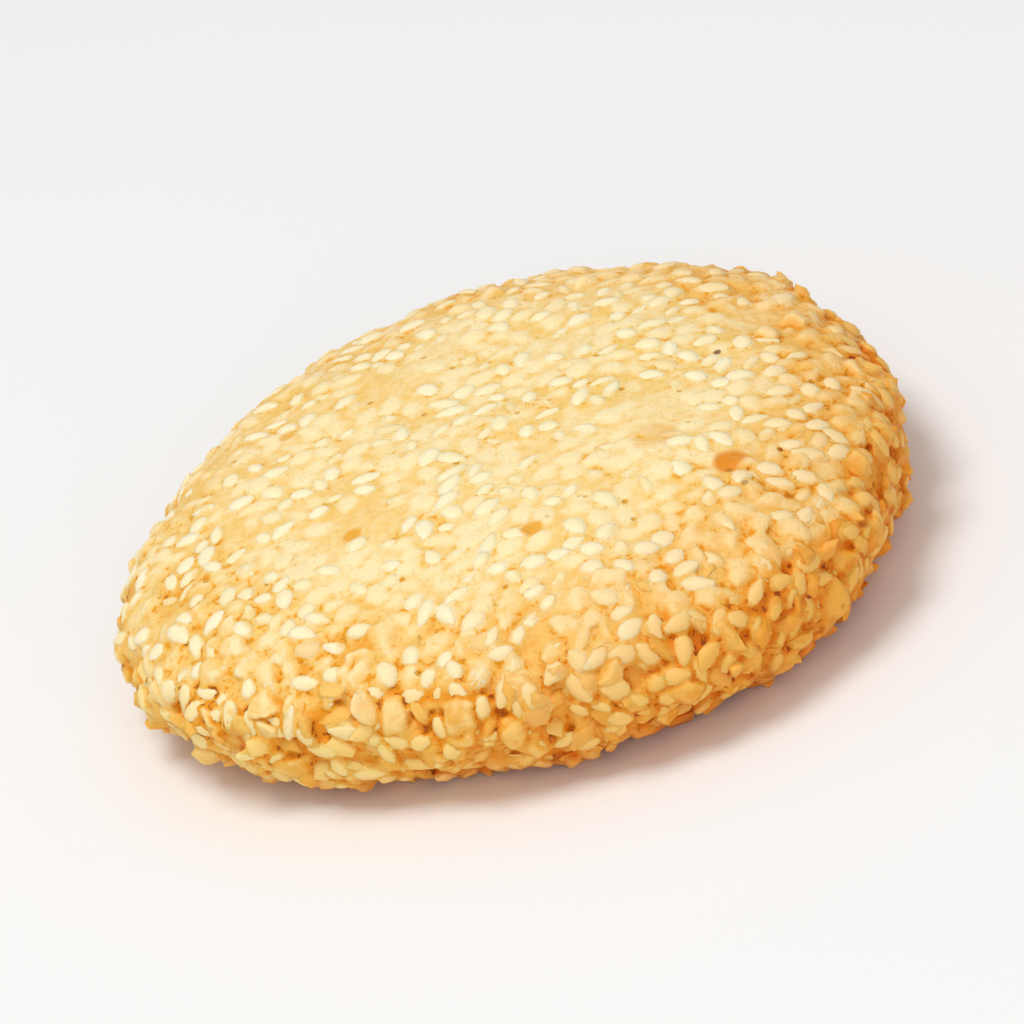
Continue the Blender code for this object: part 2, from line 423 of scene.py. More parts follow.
# %% Helpers for geometry trees
def geometry_tree(title, inputs):
    """A new tree with those inputs, and the sockets that bring them in."""
    tree = bpy.data.node_groups.new(title, "GeometryNodeTree")
    add_sockets(tree, "INPUT", {"Geometry": ("Geometry",)} | inputs)
    add_sockets(tree, "OUTPUT", {"Geometry": ("Geometry",)})
    return tree, add(tree, "NodeGroupInput").outputs


def after(tree, geometry, kind, feeds=None, **options):
    """The geometry as one more node leaves it."""
    return add(tree, "GeometryNode" + kind, {"Geometry": geometry} | (feeds or {}), **options).outputs[0]


def read(tree, name, kind="FLOAT"):
    """The value of a named attribute; the name may be a socket."""
    return add(tree, "GeometryNodeInputNamedAttribute", {"Name": name}, data_type=kind).outputs["Attribute"]


def store(tree, geometry, name, value, kind="FLOAT"):
    """The geometry with the value kept under a name on its points."""
    feeds = {"Name": name, "Value": value}
    return after(tree, geometry, "StoreNamedAttribute", feeds, data_type=kind, domain="POINT")


def kept_above(tree, geometry, lowest):
    """The geometry with nothing lower than that."""
    here = add(tree, "GeometryNodeInputPosition").outputs[0]
    parts = add(tree, "ShaderNodeSeparateXYZ", {0: here}).outputs
    raised = calc(tree, "MAXIMUM", parts[2], lowest)
    place = add(tree, "ShaderNodeCombineXYZ", {0: parts[0], 1: parts[1], 2: raised}).outputs[0]
    return after(tree, geometry, "SetPosition", {"Position": place})


def run_tree(item, tree, values):
    """Adds the tree to an object as a modifier, with its inputs set by their identifiers."""
    modifier = item.modifiers.new(tree.name, "NODES")
    modifier.node_group = tree
    for socket in tree.interface.items_tree:
        if socket.in_out == "INPUT" and socket.name in values:
            modifier[socket.identifier] = values[socket.name]
    return modifier


# %% Build the tree
SUNK_BLEND = 0.10          # half the share of the shapes that are sunk only partly
SETTING_INPUTS = {
    "Collection": ("Shapes",), "String": ("Where",), "Int": ("Draw",), "Vector": ("Swell",),
    "Material": ("Material",),
    "Float": ("Spacing", "Density", "Lift on top", "Lift on side", "Lift spread", "Tilt on top",
              "Tilt on side", "Smallest", "Largest", "Sunk share", "Sunk depth", "Lowest"),
}


def setting_tree():
    """The tree that sets shapes into the skin of the mesh it is given."""
    tree, given = geometry_tree("set_into_skin", SETTING_INPUTS)

    def chance(low, high, turn):
        feeds = {2: low, 3: high, "Seed": calc(tree, "ADD", given["Draw"], turn)}
        return add(tree, "FunctionNodeRandomValue", feeds, data_type="FLOAT").outputs[1]

    def from_top_to_side(top, side):
        return mixed(tree, read(tree, "side"), given[top], given[side], "FLOAT")

    points = add(tree, "GeometryNodeDistributePointsOnFaces", {
        "Mesh": given["Geometry"], "Distance Min": given["Spacing"], "Density Max": given["Density"],
        "Density Factor": read(tree, given["Where"]), "Seed": given["Draw"],
    }, distribute_method="POISSON")
    here, outward = add(tree, "GeometryNodeInputPosition").outputs[0], points.outputs["Normal"]

    # Depth: the middle of each shape over the skin, with a share of the shapes sunk further
    lift = from_top_to_side("Lift on top", "Lift on side")
    lift = calc(tree, "MULTIPLY_ADD", chance(-1.0, 1.0, 1), given["Lift spread"], lift)
    share = given["Sunk share"]
    sunk = between(tree, chance(0.0, 1.0, 2), calc(tree, "ADD", share, SUNK_BLEND),
                   calc(tree, "SUBTRACT", share, SUNK_BLEND))
    sunk = calc(tree, "MULTIPLY", sunk, calc(tree, "SUBTRACT", 1.0, read(tree, "side")))
    lift = calc(tree, "SUBTRACT", lift, calc(tree, "MULTIPLY", sunk, given["Sunk depth"]))

    # Memory of the skin, for the height of every vertex later
    cloud = store(tree, points.outputs["Points"], "anchor", here, "FLOAT_VECTOR")
    cloud = store(tree, cloud, "outward", outward, "FLOAT_VECTOR")
    cloud = store(tree, cloud, "tint", chance(0.0, 1.0, 3))
    cloud = after(tree, cloud, "SetPosition", {"Offset": calc_vector(tree, "SCALE", outward, lift)})

    # Turn: a spin about the normal, then a tilt
    tilt = from_top_to_side("Tilt on top", "Tilt on side")
    spin = add(tree, "ShaderNodeCombineXYZ", {2: chance(0.0, math.tau, 4)}).outputs[0]
    lean = add(tree, "ShaderNodeCombineXYZ", {
        0: calc(tree, "MULTIPLY", chance(-1.0, 1.0, 5), tilt),
        1: calc(tree, "MULTIPLY", chance(-1.0, 1.0, 6), tilt),
    }).outputs[0]
    turn = points.outputs["Rotation"]
    for euler in (spin, lean):
        by = add(tree, "FunctionNodeEulerToRotation", {0: euler}).outputs[0]
        turn = add(tree, "FunctionNodeRotateRotation", {0: turn, 1: by}, rotation_space="LOCAL").outputs[0]

    shapes = add(tree, "GeometryNodeCollectionInfo", {
        "Collection": given["Shapes"], "Separate Children": True, "Reset Children": True,
    }).outputs[0]
    size = calc_vector(tree, "SCALE", given["Swell"], chance(given["Smallest"], given["Largest"], 7))
    placed = add(tree, "GeometryNodeInstanceOnPoints", {
        "Points": cloud, "Instance": shapes, "Pick Instance": True, "Rotation": turn, "Scale": size,
    }).outputs[0]
    real = after(tree, placed, "RealizeInstances")

    from_anchor = calc_vector(tree, "SUBTRACT", here, read(tree, "anchor", "FLOAT_VECTOR"))
    height = calc_vector(tree, "DOT_PRODUCT", from_anchor, read(tree, "outward", "FLOAT_VECTOR"))
    real = store(tree, real, "height", height)
    for name in ("anchor", "outward"):
        real = after(tree, real, "RemoveAttribute", {"Name": name})
    real = kept_above(tree, real, given["Lowest"])
    real = after(tree, real, "SetShadeSmooth")
    real = after(tree, real, "SetMaterial", {"Material": given["Material"]})
    add(tree, "NodeGroupOutput", {"Geometry": real})
    return tree


set_into_skin = setting_tree()
print("the setting tree has", len(set_into_skin.nodes), "nodes")

# %% [markdown]
# ## What goes where
# The seeds lie nearly flat and flush on the pressed top, where the dough has closed over about half of them,
# and lie at steeper angles on the side. Lumps and crumbs are on the side, and they thin out over the rim.
# Each kind is one set of values for the tree. The materials are only named here. Their nodes are made once
# the shapes are finished.

# %% Values for each kind of shape
baked_dough, sesame_seed, dough_crumb = (
    bpy.data.materials.new(name) for name in ("baked_dough", "sesame_seed", "dough_crumb"))
SEEDS = {
    "Shapes": seed_cuts, "Where": "seedy", "Spacing": 1.68 * MM, "Density": 1300000.0,
    "Lift on top": -0.25 * MM, "Lift on side": -0.12 * MM, "Lift spread": 0.15 * MM,
    "Tilt on top": math.radians(8), "Tilt on side": math.radians(20),
    "Smallest": 0.84, "Largest": 1.08, "Swell": (1.0, 1.0, 1.0),
    "Sunk share": 0.50, "Sunk depth": 0.24 * MM, "Lowest": 0.05 * MM, "Draw": 11,
}
SWOLLEN_SEEDS = SEEDS | {"Swell": (1.04, 1.08, 0.88), "Sunk depth": 0.0}
LUMPS = SEEDS | {
    "Shapes": lump_cuts, "Where": "crumbly", "Spacing": 2.8 * MM, "Density": 600000.0,
    "Lift on top": -1.05 * MM, "Lift on side": -0.92 * MM, "Lift spread": 0.35 * MM,
    "Tilt on top": 0.4, "Tilt on side": 0.8, "Smallest": 0.65, "Largest": 1.2, "Sunk depth": 0.0, "Draw": 23,
}
CRUMBS = LUMPS | {
    "Shapes": crumb_cuts, "Spacing": 1.9 * MM, "Density": 900000.0,
    "Lift on top": -0.78 * MM, "Lift on side": -0.36 * MM, "Lift spread": 0.28 * MM,
    "Tilt on top": 0.3, "Tilt on side": 0.8, "Smallest": 0.55, "Largest": 1.25, "Draw": 47,
}
# The crumbs in the skin are a touch smaller than the true ones, whose faces so stay bare
CRUMBS_IN_SKIN = CRUMBS | {"Swell": (0.97, 0.97, 0.97)}
FLAKES = LUMPS | {
    "Shapes": flake_cuts, "Where": "heel", "Spacing": 3.2 * MM, "Density": 200000.0,
    "Lift on top": -0.2 * MM, "Lift on side": -0.2 * MM, "Lift spread": 0.2 * MM,
    "Tilt on top": 0.6, "Tilt on side": 0.6, "Smallest": 0.7, "Largest": 1.15, "Draw": 61,
}


def scatter(name, values, material=None):
    """Sets shapes into the pat and returns them as one plain object."""
    item = place_object(name, pat_mesh.copy())
    run_tree(item, set_into_skin, values | {"Material": material})
    mesh = settled(item)
    mesh.name = name
    item.data = mesh
    print(name, triangles(mesh), "triangles")
    return item


seeds = scatter("sesame_seeds", SEEDS, sesame_seed)
swollen_seeds = scatter("swollen_seeds", SWOLLEN_SEEDS)
lumps = scatter("lumps", LUMPS)
crumbs_in_skin = scatter("crumbs_in_skin", CRUMBS_IN_SKIN)

# %% Set the lumps that stand out
STANDING_LUMPS = (         # x, y, height, full width and how far the middle stands out, in millimetres
    (22.9, -26.1, 5.6, 4.4, 0.05), (18.6, -15.1, 14.0, 3.4, -0.40), (-15.0, -28.2, 9.5, 4.2, -0.1),
    (-9.7, -30.7, 8.9, 4.4, -0.1), (-6.2, -32.1, 6.7, 3.8, 0.0), (30.4, -10.4, 10.5, 3.6, -0.2),
)
LUMP_BREADTH, LUMP_FLATNESS, LUMP_CORNERS, LUMP_DRAW = 0.8, 0.62, 34, 70


def standing_lumps():
    """Single lumps at chosen places, laid against the pat."""
    whole = bmesh.new()
    for start, (x, y, z, width, stand) in enumerate(STANDING_LUMPS):
        _, place, outward, _ = pat.closest_point_on_mesh(Vector((x, y, z)) * MM)
        size = (width * MM, width * LUMP_BREADTH * MM, width * LUMP_FLATNESS * MM)
        lump = chunk(size, LUMP_CORNERS, LUMP_DRAW + start)
        turn = outward.to_track_quat("Z", "X").to_matrix().to_4x4()
        lump.transform(Matrix.Translation(place + outward * stand * MM) @ turn)
        whole.from_mesh(lump)
        bpy.data.meshes.remove(lump)
    mesh = bpy.data.meshes.new("standing_lumps")
    whole.to_mesh(mesh)
    whole.free()
    return place_object("standing_lumps", mesh)


lumps_by_hand = standing_lumps()
print("standing lumps:", len(STANDING_LUMPS))

# %% [markdown]
# ## The dough's skin
# Baked dough has no hard joints: it wets every seed, climbs a little way up it and leaves a crevice where two
# lumps meet. A core of dough, the lumps, the crumbs and the swollen seeds are therefore joined and remeshed
# as one volume. The core is the pat with its side drawn in, so that deep crevices stay open between the
# crumbs there. A second tree then rests the skin: it drops loose scraps and sealed bubbles, smooths the
# pressed top more than the crumbly side, adds a fine grain, and stores what the browning and the painted
# shade
# need: `hollow` and `crevice`, how far each point lies below its wider and its nearer surroundings, `seeded`,
# 1 where only a film covers a seed, and `beside`, 1 where the dough meets a bare seed.

# %% Remesh everything as one volume
VOXEL = 0.23 * MM
CORE_DEPTH = 0.42 * MM


def drawn_in(mesh, depth, name):
    """A copy of a mesh whose skin lies that much deeper where the named attribute is 1."""
    core = mesh.copy()
    shares = [value.value for value in mesh.attributes[name].data]
    normals = [normal.vector.copy() for normal in mesh.vertex_normals]
    for vertex, normal, share in zip(core.vertices, normals, shares):
        vertex.co -= normal * depth * share
        vertex.co.z = max(vertex.co.z, 0.0)
    return place_object("core", core)


def joined(title, items):
    """One mesh of several objects."""
    whole = bmesh.new()
    for item in items:
        whole.from_mesh(item.data)
    mesh = bpy.data.meshes.new(title)
    whole.to_mesh(mesh)
    whole.free()
    return mesh


core = drawn_in(pat_mesh, CORE_DEPTH, "crumbly")
filling = [core, swollen_seeds, lumps, lumps_by_hand, crumbs_in_skin]
dough = place_object("cookie_dough", joined("cookie_dough", filling))
remesh = dough.modifiers.new("close_over", "REMESH")
remesh.mode, remesh.voxel_size, remesh.use_smooth_shade = "VOXEL", VOXEL, True
dough.data = settled(dough)
print("closed skin:", triangles(dough.data), "triangles")

# %% The tree that rests the skin and measures its hollows
REST_INPUTS = {
    "Object": ("Pat", "Swollen seeds", "Bare seeds"),
    "Int": ("Rounds on top", "Rounds on side", "Wide rounds", "Near rounds"),
    "Float": ("Grain size", "Grain on top", "Grain on side", "Floor", "Film", "Seam", "Hollow depth",
              "Crevice depth"),
}
BLUR_WEIGHT, CLOSE_SHARE, GRAIN_DETAIL = 0.6, 0.1, 2.0


def rest_tree():
    """The tree that smooths and grains the remeshed skin and stores what browning and painted shade need."""
    tree, given = geometry_tree("rest_the_skin", REST_INPUTS)
    here = add(tree, "GeometryNodeInputPosition").outputs[0]
    normal = add(tree, "GeometryNodeInputNormal").outputs[0]

    def shape_of(name):
        return add(tree, "GeometryNodeObjectInfo", {"Object": given[name]}).outputs["Geometry"]

    def blurred(rounds):
        feeds = {"Value": here, "Iterations": given[rounds], "Weight": BLUR_WEIGHT}
        return add(tree, "GeometryNodeBlurAttribute", feeds, data_type="FLOAT_VECTOR").outputs["Value"]

    # Of the closed shells only the largest is kept
    shell = add(tree, "GeometryNodeInputMeshIsland").outputs["Island Index"]
    counted = add(tree, "GeometryNodeAccumulateField", {"Value": 1.0, "Group ID": shell}, domain="FACE")
    faces = counted.outputs["Total"]
    largest = add(tree, "GeometryNodeAttributeStatistic", {
        "Geometry": given["Geometry"], "Attribute": faces,
    }, domain="FACE").outputs["Max"]
    scrap = add(tree, "FunctionNodeCompare", {0: faces, 1: largest}, operation="LESS_THAN").outputs[0]
    skin = after(tree, given["Geometry"], "DeleteGeometry", {"Selection": scrap}, domain="FACE")

    pat_shape = shape_of("Pat")
    for name in ("side", "below"):
        feeds = {"Mesh": pat_shape, "Value": read(tree, name), "Sample Position": here}
        found = add(tree, "GeometryNodeSampleNearestSurface", feeds, data_type="FLOAT").outputs["Value"]
        skin = store(tree, skin, name, found)
    for name, kind, reach in (("seeded", "Swollen seeds", "Film"), ("beside", "Bare seeds", "Seam")):
        nearest = add(tree, "GeometryNodeProximity", {0: shape_of(kind)}, target_element="FACES")
        touching = calc(tree, "MULTIPLY", given[reach], CLOSE_SHARE)
        close = between(tree, nearest.outputs["Distance"], given[reach], touching)
        skin = store(tree, skin, name, close)
    side = read(tree, "side")

    smooth = mixed(tree, side, blurred("Rounds on top"), blurred("Rounds on side"), "VECTOR")
    skin = after(tree, skin, "SetPosition", {"Position": smooth})

    grain = add(tree, "ShaderNodeTexNoise", {
        "Vector": here, "Scale": calc(tree, "DIVIDE", 1.0, given["Grain size"]), "Detail": GRAIN_DETAIL,
    }).outputs[0]
    amount = mixed(tree, side, given["Grain on top"], given["Grain on side"], "FLOAT")
    amount = calc(tree, "MULTIPLY", calc(tree, "SUBTRACT", grain, 0.5), amount)
    skin = after(tree, skin, "SetPosition", {"Offset": calc_vector(tree, "SCALE", normal, amount)})
    skin = kept_above(tree, skin, given["Floor"])

    for name, rounds, full in (("hollow", "Wide rounds", "Hollow depth"),
                               ("crevice", "Near rounds", "Crevice depth")):
        away = calc_vector(tree, "SUBTRACT", blurred(rounds), here)
        depth = calc_vector(tree, "DOT_PRODUCT", away, normal)
        skin = store(tree, skin, name, calc(tree, "DIVIDE", depth, given[full]))
    skin = after(tree, skin, "SetShadeSmooth")
    add(tree, "NodeGroupOutput", {"Geometry": skin})
    return tree


# %% Rest the skin
REST = {
    "Pat": pat, "Swollen seeds": swollen_seeds, "Bare seeds": seeds, "Film": 0.20 * MM, "Seam": 0.26 * MM,
    "Rounds on top": 3, "Rounds on side": 1, "Floor": 0.06 * MM,
    "Grain size": 0.8 * MM, "Grain on top": 0.12 * MM, "Grain on side": 0.14 * MM,
    "Wide rounds": 32, "Hollow depth": 0.28 * MM, "Near rounds": 9, "Crevice depth": 0.12 * MM,
}
DOUGH_TRIANGLES = 195000

run_tree(dough, rest_tree(), REST)
thin_out = dough.modifiers.new("thin_out", "DECIMATE")
thin_out.ratio = min(1.0, DOUGH_TRIANGLES / triangles(dough.data))
dough.data = settled(dough)
print("dough:", triangles(dough.data), "triangles")
for name in ("hollow", "crevice", "seeded", "beside"):
    found = sorted(value.value for value in dough.data.attributes[name].data)
    print(name, "at 2, 25, 50, 75 and 98 %:",
          [round(found[int(len(found) * share)], 2) for share in (0.02, 0.25, 0.5, 0.75, 0.98)])

# %% [markdown]
# ## The seeds, crumbs and flakes
# The true crumbs are set where those in the skin are, as the seeds were, so each sits in its own fillet of
# dough. The base has its own seeds, pressed flush by the baking sheet.

# %% Set the seeds below, the crumbs and the flakes
SEEDS_BELOW = SEEDS | {
    "Where": "below", "Spacing": 2.2 * MM,
    "Lift on top": -0.38 * MM, "Lift on side": -0.38 * MM, "Lift spread": 0.03 * MM,
    "Tilt on top": 0.06, "Tilt on side": 0.06, "Lowest": 0.0, "Sunk share": 0.0, "Draw": 31,
}
seeds_below = scatter("sesame_seeds_below", SEEDS_BELOW, sesame_seed)
crumbs = scatter("dough_crumbs", CRUMBS, dough_crumb)
flakes = scatter("dough_flakes", FLAKES, dough_crumb)

# %% [markdown]
# ## Place and ride
# The pieces are centred in the solid's box. All of them ride on the one body that the cookie is.

# %% Fit the pieces into the solid's box
cookie = [dough, seeds, seeds_below, crumbs, flakes]
low = Vector(min(v.co[i] for item in cookie for v in item.data.vertices) for i in range(3))
high = Vector(max(v.co[i] for item in cookie for v in item.data.vertices) for i in range(3))
shift = (cad_low + cad_high) / 2 - (low + high) / 2
shift.z = 0.0
for item in cookie:
    item.data.transform(Matrix.Translation(shift))
print("dressed, mm:", [round(side / MM, 2) for side in high - low])
print("moved by, mm:", [round(part / MM, 2) for part in shift])

for leftover in [pat] + filling:
    bpy.data.objects.remove(leftover)
for group in (seed_cuts, lump_cuts, crumb_cuts, flake_cuts):
    for item in list(group.objects):
        bpy.data.objects.remove(item)
    bpy.data.collections.remove(group)

for item in cookie:
    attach(item, "root")
    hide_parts("sesame_cookie")

# %% [markdown]
# ## Colours of the oven, and painted shade
# What browns in an oven is what is thin, dry or stands near the tray: crumbs, edges and the base. What looks
# brown in a crevice is light that has bounced from dough to dough and lost its blue each time, on top of the
# real browning, and the colours here paint that shade in: in hollows, crevices, pits and the gaps beside
# seeds, at a crumb's foot, at the heel and base, and towards one end. The pressed top stays pale, with the
# seeds paler still.
#
# Effects that serve more than one material are node groups: one mixes the colours of dough by hollow, zone
# and slow noise, with painted shade in the hollows, `fine_grain` gives a height for bump, another deepens any
# colour towards the side and the heel, as browning and painted shade, and `spot` is a soft blot round a given
# point, for the few places that caught the heat. The colours are stated as screen values and turned into the
# linear values that shaders use.

# %% Helpers for shader trees
def colour(red, green, blue):
    """A linear colour from screen values of 0 to 255."""
    def linear(value):
        value /= 255
        return value / 12.92 if value <= 0.04045 else ((value + 0.055) / 1.055) ** 2.4
    return linear(red), linear(green), linear(blue), 1.0


def shader_group(title, inputs, outputs):
    """A new group with those inputs and outputs, and the sockets that bring its inputs in."""
    group = bpy.data.node_groups.new(title, "ShaderNodeTree")
    add_sockets(group, "INPUT", inputs)
    add_sockets(group, "OUTPUT", outputs)
    return group, add(group, "NodeGroupInput").outputs


def object_place(tree):
    """The place on the piece, in metres."""
    return add(tree, "ShaderNodeTexCoord").outputs["Object"]


def object_height(tree):
    """The height over the base, in metres."""
    return add(tree, "ShaderNodeSeparateXYZ", {0: object_place(tree)}).outputs[2]


def object_noise(tree, size, detail=2.0, distortion=0.0, roughness=0.5):
    """Noise in the object's own space whose features are about that size."""
    scale = calc(tree, "DIVIDE", 1.0, size) if isinstance(size, bpy.types.NodeSocket) else 1.0 / size
    return add(tree, "ShaderNodeTexNoise", {
        "Vector": object_place(tree), "Scale": scale, "Detail": detail, "Distortion": distortion,
        "Roughness": roughness,
    }).outputs[0]


def cells(tree, scale):
    """The outputs of a Voronoi texture in the object's own space."""
    return add(tree, "ShaderNodeTexVoronoi", {"Vector": object_place(tree), "Scale": scale}).outputs


def weighed(tree, *terms):
    """The sum of (value, weight) pairs."""
    total = 0.0
    for value, weight in terms:
        total = calc(tree, "MULTIPLY_ADD", value, weight, total)
    return total


# %% The tone of baked dough
PATCH_SIZE, FLECK_SIZE, SHADOW_MARK_SIZE = 6.5 * MM, 0.8 * MM, 0.8 * MM
CHUNK_SIZE, PIT_SPACING = 2.6 * MM, 3.0 * MM
PALE_TO_GOLDEN, GOLDEN_TO_DEEP, DEEP_TO_BROWN = (-0.40, 1.10), (0.95, 2.10), (2.15, 3.4)
BROWN_SHARE, BASE_BROWN_SHARE = 0.9, 0.40


def baked_tone_and_shade_group():
    """Raised dough is pale, level dough golden, hollow dough deep, the deepest crevices brown: partly painted
    shade.
    """
    group, given = shader_group("baked_tone_and_shade", {
        "Float": ("Hollow", "Crevice", "Seeded", "Beside", "Side", "Below"),
        "Color": ("Pale", "Golden", "Deep", "Brown"),
    }, {"Color": ("Color",), "Float": ("Pits",)})
    patches = between(group, object_noise(group, PATCH_SIZE, 3.0), 0.35, 0.68)
    patches = calc(group, "MULTIPLY", patches, calc(group, "MULTIPLY_ADD", given["Side"], 0.50, 0.50))
    flecks = between(group, object_noise(group, FLECK_SIZE, 3.0), 0.30, 0.70)
    # Chunks of dough differ in tone on the side
    picked = add(group, "ShaderNodeSeparateColor", {0: cells(group, 1.0 / CHUNK_SIZE)["Color"]}).outputs[0]
    chunk_tone = calc(group, "MULTIPLY", calc(group, "SUBTRACT", picked, 0.5), given["Side"])
    # Pits: small holes painted dark for the shade inside them, as the mesh is too coarse for them
    pits = between(group, cells(group, 1.0 / PIT_SPACING)["Distance"], 0.11, 0.04)
    # Short marks of painted shadow in the gaps beside seeds
    gaps = between(group, weighed(group, (given["Crevice"], 1.0), (given["Beside"], 0.55)), 0.15, 0.60)
    shadow_marks = between(group, object_noise(group, SHADOW_MARK_SIZE, 2.0, 1.0), 0.53, 0.64)
    shadow_marks = calc(group, "MULTIPLY", shadow_marks, gaps)
    # Dough beside a bare seed is darker: browning along the seed's edge, and painted shade in the seam
    beside = calc(group, "MULTIPLY", given["Beside"], calc(group, "MULTIPLY_ADD", given["Side"], 0.60, 0.40))
    # Darker towards the base
    low = between(group, object_height(group), 7.0 * MM, 0.0)
    # Hollows and crevices deepen the tone and raised dough pales: partly browning, partly painted shade
    level = weighed(group, (given["Hollow"], 0.60), (given["Crevice"], 0.65), (given["Seeded"], -0.60),
                    (given["Side"], 0.10), (low, 0.30), (patches, 1.0), (flecks, 0.40),
                    (chunk_tone, 1.2), (beside, 1.0), (pits, 1.5), (shadow_marks, 1.15))
    tone = mixed(group, between(group, level, *PALE_TO_GOLDEN), given["Pale"], given["Golden"])
    tone = mixed(group, between(group, level, *GOLDEN_TO_DEEP), tone, given["Deep"])
    brown = calc(group, "MULTIPLY", between(group, level, *DEEP_TO_BROWN), BROWN_SHARE)
    # The base is browner: browning on the tray, with painted shade where it meets the floor
    brown = calc(group, "MAXIMUM", brown, calc(group, "MULTIPLY", given["Below"], BASE_BROWN_SHARE))
    tone = mixed(group, brown, tone, given["Brown"])
    add(group, "NodeGroupOutput", {"Color": tone, "Pits": pits})
    return group


baked_tone_and_shade = baked_tone_and_shade_group()
print("baked_tone_and_shade has", len(baked_tone_and_shade.nodes), "nodes")

# %% The grain, the warmth and the spots
WARM_END = (0.995, -0.1, 0.0)              # which way the cookie's warmer end points
WARM_REACH, LOW_REACH = (-30 * MM, 32 * MM), (13.5 * MM, 6.5 * MM)


def fine_grain_group():
    """The height of a grain with small pits in it."""
    group, given = shader_group("fine_grain", {"Float": ("Size", "Pits")}, {"Float": ("Height",)})
    coarse = object_noise(group, given["Size"], 4.0, 0.4, 0.6)
    pits = between(group, cells(group, calc(group, "DIVIDE", 0.7, given["Size"]))[0], 0.28, 0.05)
    height = calc(group, "SUBTRACT", coarse, calc(group, "MULTIPLY", pits, given["Pits"]))
    add(group, "NodeGroupOutput", {"Height": height})
    return group


def oven_warmth_and_shade_group():
    """A colour deepened towards the warm end, down the side and at the heel: browning, with painted shade in
    it.
    """
    group, given = shader_group("oven_warmth_and_shade", {
        "Color": ("Color", "Warmth", "Low warmth", "Heel warmth"), "Float": ("Side", "Heel height"),
    }, {"Color": ("Color",)})
    ragged = calc(group, "SUBTRACT", object_noise(group, 2.5 * MM, 3.0), 0.5)
    height = calc(group, "MULTIPLY_ADD", ragged, given["Heel height"], object_height(group))
    # One end of the cookie is deeper: partly browning nearer the heat, partly painted shade on the side away
    # from the light
    towards = calc_vector(group, "DOT_PRODUCT", object_place(group), WARM_END)
    share = calc(group, "MULTIPLY_ADD", between(group, towards, *WARM_REACH), 0.9, 0.1)
    tone = given["Color"]
    # The heel is deepened all round: browning near the tray, and painted shade where the cookie meets the
    # floor
    for amount, warmth in (
            (calc(group, "MULTIPLY", share, given["Side"]), "Warmth"),
            (calc(group, "MULTIPLY", between(group, height, *LOW_REACH), given["Side"]), "Low warmth"),
            (between(group, height, given["Heel height"], 0.0), "Heel warmth")):
        tone = mixed(group, amount, tone, given[warmth], blend="MULTIPLY")
    add(group, "NodeGroupOutput", {"Color": tone})
    return group


def spot_group():
    """A mask that is 1 near a point and fades out at a ragged edge."""
    group, given = shader_group("spot", {"Vector": ("Middle",), "Float": ("Size",)}, {"Float": ("Mask",)})
    away = calc_vector(group, "DISTANCE", object_place(group), given["Middle"])
    ragged = calc(group, "SUBTRACT", object_noise(group, 1.1 * MM, 2.0), 0.5)
    away = calc(group, "MULTIPLY_ADD", ragged, calc(group, "MULTIPLY", given["Size"], 0.35), away)
    inner = calc(group, "MULTIPLY", given["Size"], 0.50)
    add(group, "NodeGroupOutput", {"Mask": between(group, away, given["Size"], inner)})
    return group


fine_grain, oven_warmth_and_shade, spot = fine_grain_group(), oven_warmth_and_shade_group(), spot_group()
for group in (fine_grain, oven_warmth_and_shade, spot):
    print(group.name, "has", len(group.nodes), "nodes")

# %% [markdown]
# ## The spots
# Sugar and butter pool in a few hollows of the top and turn to caramel, and a burst bubble leaves a pinhole,
# painted dark for the shade inside it.
# Most spots are honey yellow, and the darkest is caramel brown. Each is given where it is seen from above, in
# millimetres, and dropped on to the skin for its height.

# %% Find the places of the spots
HONEY_SPOTS = (         # x, y, half width, strength
    (-15.6, 11.3, 1.0, 0.7), (-12.7, -9.0, 1.1, 0.95), (1.6, -17.4, 1.3, 0.95), (13.7, -9.4, 2.6, 0.45),
)
CARAMEL_SPOTS = ((19.1, -15.1, 1.8, 0.95), (18.5, -15.6, 1.3, 0.90))
PINHOLES = ((21.0, 2.5, 0.45, 0.85), (18.6, -16.4, 0.35, 0.4), (19.5, -18.8, 0.40, 0.5))
SPOT_DROP = 30 * MM


def dropped(places):
    """The same places with their heights on the skin: (point in metres, half width in metres, strength)."""
    found = []
    for x, y, size, strength in places:
        start = Vector((x * MM, y * MM, SPOT_DROP))
        hit, point, _, _ = dough.ray_cast(start, Vector((0, 0, -1)))
        found.append((point, size * MM, strength))
        print("spot at", [round(c / MM, 1) for c in point], "found" if hit else "missed")
    return found


bpy.context.view_layer.update()
honey_spots = dropped(HONEY_SPOTS)
caramel_spots = dropped(CARAMEL_SPOTS)
pinholes = dropped(PINHOLES)

# %% [markdown]
# ## The finishes
# Dough, seeds and crumbs are all dull and a little translucent, so each has a Principled shader with a
# scatter below the surface that reaches furthest in red. The dough takes its tone from the skin's attributes.
# A seed is ivory, dulled by flour on the pressed top, and fades into the dough where it dips under. A crumb
# is one of three tones and darkens towards its foot, partly as painted shade.

# %% Helpers for the finishes
HOLE_DEPTH = 1.6           # of a pit, as a multiple of the grain's height


def finish_of(material):
    """The tree of a material and its Principled shader."""
    material.use_nodes = True
    return material.node_tree, material.node_tree.nodes["Principled BSDF"]


def painted(tree, name):
    """A float attribute of the mesh, in a shader."""
    return add(tree, "ShaderNodeAttribute", attribute_name=name).outputs["Fac"]


def grain_bump(tree, size, pits, depth, holes=0.0):
    """(height, normal) of a grain of that size, with holes where a mask is 1."""
    grain = add(tree, "ShaderNodeGroup", {"Size": size, "Pits": pits}, node_tree=fine_grain).outputs["Height"]
    height = calc(tree, "MULTIPLY_ADD", holes, -HOLE_DEPTH, grain)
    return grain, add(tree, "ShaderNodeBump", {"Height": height, "Distance": depth}).outputs[0]


